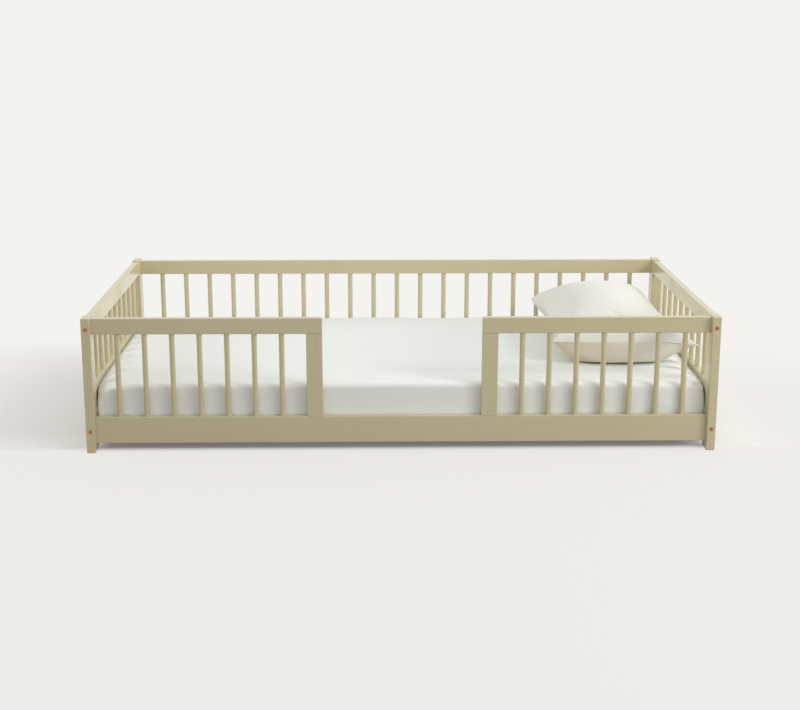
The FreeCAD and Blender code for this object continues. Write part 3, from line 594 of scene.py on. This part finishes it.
# Guide round a rounded rectangle: each point is a place on an inner rectangle plus its
# outward direction, so any outline is that place times its half sizes less the corner's
# radius, plus the radius times the direction. It starts in the middle of a corner. Along
# a side the share is t less closeness times sin(2 pi t) over 2 pi, which crowds the ends.
def outlineGuide(values):
    corners = np.array([(-1, -1), (1, -1), (1, 1), (-1, 1)], float)
    cornerCells = values["cornerCells"]
    places, headings = [], []
    sides = ((values["cellsLong"], values["endCloseness"]), (values["cellsWide"], 0)) * 2
    for side, (cells, closeness) in enumerate(sides):
        straight = cells - 2 * cornerCells
        t = np.linspace(0, 1, straight + 1)
        crowded = t - closeness * np.sin(math.tau * t) / math.tau
        share = np.concatenate([np.zeros(cornerCells), crowded, np.ones(cornerCells)])[:-1]
        turn = np.linspace(-45, 0, cornerCells + 1)
        turns = np.concatenate([turn, np.zeros(straight - 1), -turn[::-1]])[:-1]
        angle = np.radians(90 * side - 90 + turns)
        first, last = corners[side], corners[(side + 1) % 4]
        places.append(first + share[:, None] * (last - first))
        headings.append(np.stack([np.cos(angle), np.sin(angle)], axis=1))
    return np.concatenate(places), np.concatenate(headings)


# Flat patch inside four edge curves: the blend from front to back plus the blend from
# left to right, less the blend of the four corners.
def fillOutline(ring, values):
    long, wide = values["cellsLong"], values["cellsWide"]
    closed = np.vstack([ring, ring[:1]])
    front, right = closed[:long + 1], closed[long:long + wide + 1]
    back = closed[long + wide:2 * long + wide + 1][::-1]
    left = closed[2 * long + wide:][::-1]
    u = np.linspace(0, 1, long + 1)[None, :, None]
    v = np.linspace(0, 1, wide + 1)[:, None, None]
    lengthwise = (1 - v) * front[None] + v * back[None]
    crosswise = (1 - u) * left[:, None] + u * right[:, None]
    corners = ((1 - u) * (1 - v) * front[0] + u * (1 - v) * front[-1]
               + (1 - u) * v * back[0] + u * v * back[-1])
    return lengthwise + crosswise - corners


# Rows of the profile, from the top's edge down: a quarter ellipse, whose shares are the
# sine and cosine to the power two over its fullness (2 is round, less more slanting), then
# the upright side, a quarter circle, and the part turned in underneath. A row is its inset
# at the ends and the sides, its heights, and the sideways and upward shares of the way out.
def wrapProfile(values, headings, inset, underneath):
    across = headings[:, 0] ** 2
    level = np.ones(len(headings))
    top, foot = values["top"] - inset, values["foot"] + inset
    crownRows, sideRows, footRows, underRows = values["profileRows"]
    rows = []
    for angle in np.linspace(0, math.pi / 2, crownRows):
        insets, drops = [], []
        for inward, downward, fullness in (values["crownEnd"], values["crownSide"]):
            insets.append(inset + inward * (1 - math.sin(angle) ** (2 / fullness)))
            drops.append(downward * (1 - max(math.cos(angle), 0.0) ** (2 / fullness)))
        high = top - (drops[1] + across * (drops[0] - drops[1]))
        rows.append((*insets, high, math.sin(angle), math.cos(angle)))
    low = foot + values["footRound"]
    for share in np.linspace(0, 1, sideRows)[1:]:
        rows.append((inset, inset, high + share * (low - high), 1.0, 0.0))
    for angle in np.linspace(0, math.pi / 2, footRows)[1:]:
        turned = inset + values["footRound"] * (1 - math.cos(angle))
        rows.append((turned, turned, level * (low - values["footRound"] * math.sin(angle)),
                     math.cos(angle), -math.sin(angle)))
    start = rows[-1][0]
    for share in np.linspace(0, 1, underRows)[1:]:
        turned = start + share * (underneath - start)
        rows.append((turned, turned, level * foot, 0.0, -1.0))
    return rows


# The upper corners sink, each by a bell curve of the distance from it times how high the
# point is. The front bulges beside the pillow, by a bell curve along it, and the ends lean
# outwards between the posts. Both ease off near the foot, the bulge also at the top.
def settle(points, values):
    x, y, z = points.T
    sunk = np.zeros(len(points))
    for number, (signX, signY) in enumerate(((-1, -1), (1, -1), (1, 1), (-1, 1))):
        away = np.hypot(signX * x - values["halfLong"], signY * y - values["halfWide"])
        sunk += values["droop"][number] * np.exp(-(away / values["droopReach"][number]) ** 2)
    sunk *= ease(z, *values["droopFrom"])
    along = np.exp(-((x - values["bulgePlace"]) / values["bulgeReach"]) ** 2)
    heights = values["bulgeHeights"]
    forward = values["bulge"] * along * ease(-y, *values["bulgeDepth"]) \
        * ease(z, *heights[:2]) * (1 - ease(z, *heights[2:]))
    sideways = values["lean"] * np.sign(x) * ease(np.abs(x), *values["leanFrom"]) \
        * (1 - ease(np.abs(y), *values["leanPosts"])) * ease(z, *values["leanHeights"])
    return points + np.column_stack([sideways, -forward, -sunk])


crease = {
    "reach": (0.9, 0.4),  # share of its width at its start, and its gain to its end
    "ridge": 0.40,  # height of the ridges beside it, to its depth
    "ridgePlace": 2.0,  # in half widths from its middle
    "easeIn": (-0.06, 0.12),  # shares of its length
    "easeOut": (0.40, 1.05),
}


# Folds of the stretched sheet, on its flat coordinate. Each crease is a line from one
# point to another: a valley whose depth falls off sideways as a bell curve, with a low
# ridge on each side. It eases out at both ends and bows by a share of its length.
def creaseHeight(flat, creases, values, widen=1.0):
    height = np.zeros(flat.shape[:-1])
    for startX, startY, endX, endY, bow, width, deep in creases:
        run = np.array([endX - startX, endY - startY])
        length = np.linalg.norm(run)
        along = ((flat - (startX, startY)) @ run) / length ** 2
        side = ((flat - (startX, startY)) @ np.array([-run[1], run[0]])) / length
        side = side - bow * length * 4 * along * (1 - along)
        reach = widen * width * (values["reach"][0] + values["reach"][1] * np.clip(along, 0, 1))
        valley = np.exp(-(side / reach) ** 2)
        beside = (np.abs(side) - values["ridgePlace"] * reach) / reach
        height += deep * (values["ridge"] * np.exp(-beside ** 2) - valley) \
            * ease(along, *values["easeIn"]) * (1 - ease(along, *values["easeOut"]))
    return height


# Where the creases run: short gathers in from both ends, three beside the pillow, and a
# fan at each corner, varied by random numbers from a fixed seed. A crease is its start,
# end, bow, width and depth.
def sheetCreases():
    pick = np.random.default_rng(11)
    creases = [(0.985, -0.392, 0.775, -0.242, -0.10, 0.0066, 0.0046),
               (0.985, -0.268, 0.830, -0.190, -0.07, 0.0062, 0.0042),
               (0.985, -0.330, 0.885, -0.250, -0.06, 0.0060, 0.0010)]
    for place in (-0.372, -0.298, -0.217, -0.135, -0.043, 0.046, 0.134, 0.222, 0.306, 0.380):
        reach = pick.uniform(0.13, 0.18)
        creases.append((-0.985, place - 0.020, -0.985 + reach, place + 0.016,
                        pick.uniform(0.06, 0.10), 0.0052, 0.001 * pick.uniform(3.2, 4.2)))
    for place in (-0.12, -0.04, 0.05, 0.13, 0.22, 0.31, 0.39):
        reach = pick.uniform(0.12, 0.19)
        creases.append((0.985, place, 0.985 - reach, place + pick.uniform(-0.03, 0.03),
                        pick.uniform(-0.09, 0.09), 0.0055, 0.001 * pick.uniform(1.5, 2.5)))
    for sideX, sideY in ((-1, -1), (1, -1), (-1, 1), (1, 1)):
        for angle in (22, 40, 58, 74):
            turn = math.radians(angle + pick.uniform(-5, 5))
            long = pick.uniform(0.12, 0.20)
            startX, startY = sideX * 0.950, sideY * 0.455
            creases.append((startX, startY, startX - sideX * long * math.cos(turn),
                            startY - sideY * long * math.sin(turn),
                            pick.uniform(-0.08, 0.08), 0.0075, 0.001 * pick.uniform(0.5, 1.1)))
    return creases


# Slow swell of the cloth: a few long sine waves in fixed directions, added up.
def slowSwell(flat, size, count, seed):
    pick = np.random.default_rng(seed)
    height = np.zeros(flat.shape[:-1])
    waves = pick.uniform((0, 0.22, 0), (math.tau, 0.6, math.tau), (count, 3))
    for heading, wavelength, phase in waves:
        way = np.array([math.cos(heading), math.sin(heading)])
        height += np.sin((flat @ way) * math.tau / wavelength + phase)
    return size * height / math.sqrt(count)


# A wrapped block: the flat patch on top, then the profile's rows round it, each row an
# outline inset by its own amount, with corners whose radius grows by the square of a
# smooth step of the height. It gives the points, their way out and their place on the
# flat cloth, which past the patch's edge is the way down the profile, and counts its rows.
def wrapBlock(values, inset, underneath):
    places, headings = outlineGuide(values)
    halfSizes = np.array([values["halfLong"], values["halfWide"]])
    parts, used = [], np.zeros(len(places))
    for endInset, sideInset, heights, sideShare, upShare in wrapProfile(
            values, headings, inset, underneath):
        rounder = values["cornerTop"] * ease(heights, values["cornerFrom"], values["top"]) ** 2
        radius = (values["corner"] + rounder)[:, None]
        outline = places * (halfSizes - (endInset, sideInset) - radius) + radius * headings
        ring = np.column_stack([outline, heights])
        if parts:
            used = used + np.linalg.norm(ring - before, axis=1)
            ways = np.column_stack([headings * sideShare, np.full(len(places), upShare)])
            parts.append((ring, ways, rim + headings * used[:, None]))
        else:
            rim = outline
            patch = fillOutline(rim, values).reshape(-1, 2)
            parts.append((np.column_stack([patch, np.full(len(patch), heights[0])]),
                          np.tile((0.0, 0.0, 1.0), (len(patch), 1)), patch))
        before = ring
    return [np.concatenate(kind) for kind in zip(*parts)], len(parts)


# Joins the patch and the rows into one mesh: the first row is the patch's own edge, and
# each row ends where it began. Also gives the numbers of the points in the last row.
def blockFaces(values, rowCount):
    long, wide = values["cellsLong"], values["cellsWide"]
    patch = np.arange((wide + 1) * (long + 1)).reshape(wide + 1, long + 1)
    edge = gridEdge(patch)
    lower = patch.size + np.arange((rowCount - 1) * len(edge)).reshape(-1, len(edge))
    rows = np.pad(np.vstack([edge, lower]), ((0, 0), (0, 1)), "wrap")
    return np.concatenate([gridFaces(patch), gridFaces(rows, turnedOver=True)]), lower[-1]


# The sheet is the wrapped block moved outwards by its folds: creases and slow swell on
# top, less under the pillow and down the sides, and gathers at the lower corners, which
# are a sine along the cloth times a bell curve of the distance from the corner.
def makeSheet(values, pillowPlace):
    (points, ways, cloth), rowCount = wrapBlock(values, 0.0, values["hem"])
    creases = sheetCreases()
    folds = creaseHeight(cloth, creases, crease) + slowSwell(cloth, *values["swell"])
    fromPillow = np.linalg.norm((cloth - pillowPlace) / values["pillowPatch"], axis=1)
    flattest = values["pillowFolds"]
    folds *= flattest + (1 - flattest) * ease(fromPillow, *values["pillowEdge"])
    # painted shade: the sheet's colour darkens as deep as a widened crease lies, on the top and
    # upper sides only
    depth = -creaseHeight(cloth, creases, crease, values["hollowWiden"])
    hollow = ease(depth, *values["hollowFrom"]) * ease(ways[:, 2], 0.1, 0.7)
    folds *= values["sideFolds"] + (1 - values["sideFolds"]) * np.clip(ways[:, 2], 0, 1)
    drop, over = values["gatherDrop"]
    low = np.clip((values["top"] - points[:, 2] - drop) / over, 0, 1)
    fromCorner = ((np.abs(cloth) - values["gatherPlace"]) ** 2).sum(1)
    byCorner = np.exp(-fromCorner / values["gatherReach"] ** 2)
    folds += values["gather"] * low * byCorner * np.sin(
        (cloth[:, 0] + 1.3 * cloth[:, 1]) * values["gatherWaves"])
    folds[ways[:, 2] < -0.5] = 0  # none underneath
    points = settle(points + ways * folds[:, None], values)
    faces, lastRow = blockFaces(values, rowCount)
    sheet = layMesh("fitted_sheet_cloth", points, faces, cloth, hollow=hollow)
    wall = sheet.modifiers.new("clothThickness", "SOLIDIFY")
    wall.thickness = values["clothThick"]
    wall.offset = -1
    return sheet, points[lastRow]


# The mattress is the same wrapped block, a little smaller, closed underneath by a second
# patch, whose edge is its last row.
def makeMattress(values):
    inset = values["padInset"]
    (points, _, cloth), rowCount = wrapBlock(values, inset, values["padUnder"])
    points = settle(points, values)
    faces, lastRow = blockFaces(values, rowCount)
    under = fillOutline(points[lastRow, :2], values)
    grid = np.full(under.shape[:2], -1)
    grid.flat[gridEdge(np.arange(grid.size).reshape(grid.shape))] = lastRow
    inside = grid < 0
    grid[inside] = len(points) + np.arange(inside.sum())
    inner = np.column_stack([under[inside], np.full(inside.sum(), values["foot"] + inset)])
    return layMesh("mattress_pad", np.concatenate([points, inner]),
                   np.concatenate([faces, gridFaces(grid, turnedOver=True)]),
                   np.concatenate([cloth, under[inside]]))


# The way a closed line goes at each point: the next point less the one before.
def headingsOf(line):
    ahead = np.roll(line, -1, axis=0) - np.roll(line, 1, axis=0)
    return ahead / np.linalg.norm(ahead, axis=1)[:, None]


# How far along a line each point lies: the steps from point to point, added up.
def wayAlong(line):
    return np.concatenate([[0], np.cumsum(np.linalg.norm(np.diff(line, axis=0), axis=1))])


# A closed tube: each ring is an oval about a point of the line, half its width times the
# cosine of an angle one way plus half its thickness times the sine another way. Its flat
# coordinate is the way along the line, and the angle times a small length.
def makeTube(name, line, along, sideways, upwards, values, swell=1):
    angle = np.linspace(0, math.tau, values["sides"], endpoint=False)
    wide = values["halfWide"] * swell * np.cos(angle)
    thick = values["halfThick"] * np.sin(angle)
    ring = line[:, None] + sideways[:, None] * wide[..., None] + upwards[:, None] * thick[:, None]
    grid = np.arange(len(line) * len(angle)).reshape(len(line), -1)
    flat = np.stack(np.broadcast_arrays(along[:, None], angle * values["turnLength"]), axis=-1)
    return layMesh(name, ring.reshape(-1, 3), gridFaces(np.pad(grid, (0, 1), "wrap")),
                   flat.reshape(-1, 2))


elasticBand = {
    "halfWide": 0.0045, "halfThick": 0.0006, "steps": 900, "sides": 8, "turnLength": 0.004,
    "lift": 0.0002,
    "gather": 0.22,  # share of its width by which it swells
    "gatherLength": 0.014,
}


# A band of elastic round the sheet's turned-in edge: a small oval carried along the edge,
# thinner and thicker by a quick sine, as gathered cloth over elastic is.
def makeElastic(edge, values):
    closed = np.vstack([edge, edge[:1]])
    reach = wayAlong(closed)
    along = np.linspace(0, reach[-1], values["steps"], endpoint=False)
    line = np.column_stack([np.interp(along, reach, closed[:, axis]) for axis in range(3)])
    ahead = headingsOf(line)
    inward = np.column_stack([-ahead[:, 1], ahead[:, 0], np.zeros(len(line))])
    swell = 1 + values["gather"] * np.sin(along * math.tau / values["gatherLength"])
    return makeTube("sheet_elastic_hem", line + (0, 0, values["lift"]), along, inward,
                    np.array([(0.0, 0.0, 1.0)]), values, swell[:, None])


# The sheet's second colour is painted shade, laid into its creases.
sheetCotton = cottonFinish("washedSheetCotton", (0.866, 0.888, 0.862), (0.828, 0.850, 0.824),
                           1700.0, 0.10, "hollow", (0.685, 0.694, 0.655))
mattressKnit = knitFinish("quiltedMattressKnit", (0.84, 0.83, 0.80), (0.74, 0.73, 0.69))

sheet, sheetEdge = makeSheet(bedding, (0.721, 0.066))
mattress = makeMattress(bedding)
elastic = makeElastic(sheetEdge, elasticBand)
for piece, finish in ((sheet, sheetCotton), (mattress, mattressKnit), (elastic, sheetCotton)):
    piece.data.materials.append(finish)
    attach(piece, "root")
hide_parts("mattress")
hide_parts("fitted_sheet")
print("mattress and sheet made")


# One plump pillow lies at the right end.
pillow = {
    "middle": (0.721, 0.066),
    "seamLevel": 0.2866,
    "restLevel": 0.2128,
    "pressSoftness": 0.003,  # of the turn from its round side to its flat underside
    "wide": 0.462,  # between its left and right corners
    "long": 0.632,  # between its front and back corners
    "rise": 0.118,
    "belly": 0.112,  # before it is pressed flat on the sheet
    "frontLift": 0.0055,  # its front edge hangs over the sheet by this much
    "frontLiftFrom": (0.195, 0.250),
    "frontFull": 0.024,  # how far the lower layer bulges forward under the front seam
    "frontFullFrom": (0.14, 0.26),
    "frontFullDepth": (0.0, 0.045),
    # each corner: how far its ear moves across, along and up, how much its tip draws in,
    # and how much fuller its shoulder is
    "frontLeft": ((0.003, 0.010, 0.0), 0.0, 0.0),
    "frontRight": ((0.016, -0.048, -0.001), 0.0, 0.0),
    "backLeft": ((-0.018, 0.030, 0.007), 0.024, 0.020),
    "backRight": ((-0.024, 0.012, -0.006), 0.010, 0.012),
    "cellsWide": 56,
    "cellsLong": 76,
    "startShare": 0.96,
    "steps": 20,
    "cloth": {"quality": 6, "mass": 0.25, "tension_stiffness": 18, "compression_stiffness": 12,
              "shear_stiffness": 6, "bending_stiffness": 0.6, "use_pressure": True,
              "uniform_pressure_force": 4.0, "shrink_min": 0.0, "shrink_max": 0.05},
    "moveCap": 0.020,
    # the oat underside is painted shade; these say where it turns back to cream
    "creamBack": (-0.16, 0.06),  # its underside turns cream towards the back,
    "creamRight": (-0.08, 0.10),  # and up to a share towards the right
    "creamRightShare": 0.65,
}


# Two crowned layers over one outline. Half width is 0.91 plus 0.09 times the distance
# along to the power 3.5, half length 0.965 plus 0.035 times the distance across cubed,
# and the height is the crown times (1 - across squared) to the 0.62 times
# (1 - along to the 2.2) to the 0.42 above, and to the 0.85 times (1 - along to the 12)
# to the 0.35 below.
def pillowLayers(values, share):
    u = np.linspace(-1, 1, values["cellsWide"] + 1)[None, :]
    v = np.linspace(-1, 1, values["cellsLong"] + 1)[:, None]
    x = share * values["wide"] / 2 * (0.91 + 0.09 * np.abs(v) ** 3.5) * u
    y = share * values["long"] / 2 * (0.965 + 0.035 * np.abs(u) ** 3) * v
    above = share * values["rise"] * (1 - u ** 2) ** 0.62 * (1 - np.abs(v) ** 2.2) ** 0.42
    below = share * values["belly"] * (1 - u ** 2) ** 0.85 * (1 - np.abs(v) ** 12) ** 0.35
    return np.stack([x, y, above], axis=-1), np.stack([x, y, -below], axis=-1)


# Faces of the two layers, which share the points of their common edge. Also gives the
# numbers of the points round that edge.
def pillowFaces(values):
    rows, columns = values["cellsLong"] + 1, values["cellsWide"] + 1
    upper = np.arange(rows * columns).reshape(rows, columns)
    lower = upper.copy()
    inside = np.arange((rows - 2) * (columns - 2)).reshape(rows - 2, columns - 2)
    lower[1:-1, 1:-1] = upper.size + inside
    faces = np.concatenate([gridFaces(upper), gridFaces(lower, turnedOver=True)])
    return faces, gridEdge(upper)


# Inflates a copy with the cloth solver, gravity off, and returns where its points end.
# The seam is drawn up a little, which puckers the cloth beside it.
def inflate(points, faces, edge, values):
    scene = bpy.context.scene
    trial = layMesh("pillow_trial", points, faces)
    trial.vertex_groups.new(name="seam").add(edge.tolist(), 1.0, "REPLACE")
    cloth = trial.modifiers.new("cloth", "CLOTH")
    for key, value in values["cloth"].items():
        setattr(cloth.settings, key, value)
    cloth.settings.effector_weights.gravity = 0
    cloth.settings.vertex_group_shrink = "seam"
    cloth.point_cache.frame_start = 1
    cloth.point_cache.frame_end = values["steps"]
    for step in range(1, values["steps"] + 1):
        scene.frame_set(step)
    solved = trial.evaluated_get(bpy.context.evaluated_depsgraph_get()).to_mesh()
    ended = np.zeros(len(solved.vertices) * 3, np.float32)
    solved.vertices.foreach_get("co", ended)
    bpy.data.objects.remove(trial)
    scene.frame_set(1)
    return ended.reshape(-1, 3).astype(float)


# Lays out the two layers, inflates them, and holds each point's move under a cap by the
# hyperbolic tangent of it over the cap. The rest is told line by line.
def makePillow(values):
    above, below = pillowLayers(values, values["startShare"])
    points = np.concatenate([above.reshape(-1, 3), below[1:-1, 1:-1].reshape(-1, 3)])
    flatPlaces = points[:, :2].copy()
    faces, edge = pillowFaces(values)
    moved = inflate(points, faces, edge, values) - points
    far = np.linalg.norm(moved, axis=1)[:, None]
    cap = values["moveCap"]
    points = points + moved * cap * np.tanh(far / cap) / np.maximum(far, 1e-9)
    # back to the measured size: width, length, rise and belly are each brought to theirs
    low, high = points.min(0), points.max(0)
    for axis, size in ((0, values["wide"]), (1, values["long"])):
        middle = (low[axis] + high[axis]) / 2
        points[:, axis] = (points[:, axis] - middle) * size / (high[axis] - low[axis])
    points[:, 2] = np.where(points[:, 2] > 0, points[:, 2] * values["rise"] / high[2],
                            points[:, 2] * values["belly"] / -low[2])
    halfSizes = np.array([values["wide"], values["long"]]) / 2
    # each ear moves by its own step times (across times along) to the sixth, its tip draws
    # in by that product to the power 9, and its shoulder rises by the product squared less
    # the product to the eighth
    for signs, corner in (((-1, -1), "frontLeft"), ((1, -1), "frontRight"),
                          ((-1, 1), "backLeft"), ((1, 1), "backRight")):
        step, blunt, full = values[corner]
        nearness = np.clip(signs * points[:, :2] / halfSizes, 0, 1).prod(1)[:, None]
        points = points + nearness ** 6 * np.array(step) - nearness ** 9 * blunt * (*signs, 0)
        shoulder = (nearness ** 2 - nearness ** 8)[:, 0]
        points[:, 2] += full * shoulder * ease(points[:, 2], 0.0, 0.03)
    # under the front seam the lower layer bulges forward, but not towards the ears
    middling = 1 - np.clip(np.abs(points[:, 0]) / halfSizes[0], 0, 1) ** 4
    points[:, 1] -= values["frontFull"] * middling \
        * ease(-points[:, 2], *values["frontFullDepth"]) \
        * ease(-points[:, 1], *values["frontFullFrom"])
    # its underside is painted shade in oat, cream again towards the back, and partly towards
    # the right, where more light falls
    cream = np.maximum(ease(points[:, 1], *values["creamBack"]),
                       values["creamRightShare"] * ease(points[:, 0], *values["creamRight"]))
    points += (*values["middle"], values["seamLevel"])
    # it rests on the sheet: lower points are pressed up to that level, softly at the rim,
    # and the level rises a little towards the front, where the edge hangs over
    lift = values["frontLift"] * ease(-points[:, 1], *values["frontLiftFrom"])
    rest, press = values["restLevel"] + lift, values["pressSoftness"]
    points[:, 2] = rest + press * np.logaddexp(0, (points[:, 2] - rest) / press)
    body = layMesh("pillow_case", points, faces, flatPlaces, cream=cream)
    smooth = body.modifiers.new("roundOut", "SUBSURF")
    smooth.levels = smooth.render_levels = 1
    return body, points[edge]


seam = {
    "halfWide": 0.0018, "halfThick": 0.0007, "sides": 10, "turnLength": 0.003,
    "out": 0.35,  # how far it stands out, in half widths
}


# The sewn edge: a flat oval round the pillow's seam, which is first evened out twice, by
# one, two and one quarters of neighbouring points, and pushed out by a share of its width.
def makePillowSeam(line, values):
    for _ in range(2):
        line = (np.roll(line, 1, axis=0) + 2 * line + np.roll(line, -1, axis=0)) / 4
    ahead = headingsOf(line)
    outward = np.column_stack([ahead[:, 1], -ahead[:, 0], np.zeros(len(line))])
    outward /= np.linalg.norm(outward, axis=1)[:, None]
    downward = np.cross(ahead, outward)
    centre = line + outward * values["halfWide"] * values["out"]
    return makeTube("pillow_seam", centre, wayAlong(line), outward, downward, values)


pillowCotton = cottonFinish("creamPillowCotton", (0.835, 0.820, 0.764), (0.798, 0.782, 0.724),
                            1500.0, 0.14)
# The lower layer's oat colour is painted shade on the pillow's belly; by the cream share it turns
# back to the pillow's own cream.
bellyShadeCotton = cottonFinish("paintedBellyShadePillowCotton", (0.672, 0.622, 0.496), (0.638, 0.588, 0.462),
                          1500.0, 0.14, "cream", (0.820, 0.804, 0.746))
pillowBody, seamLine = makePillow(pillow)
pillowSeam = makePillowSeam(seamLine, seam)
pillowBody.data.materials.append(pillowCotton)
pillowBody.data.materials.append(bellyShadeCotton)
pillowBody.data.polygons.foreach_set("material_index", np.repeat(
    np.array([0, 1], np.int32), pillow["cellsWide"] * pillow["cellsLong"]))  # lower layer second
pillowSeam.data.materials.append(pillowCotton)
for piece in (pillowBody, pillowSeam):
    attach(piece, "root")
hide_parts("pillow")
print("pillow made")
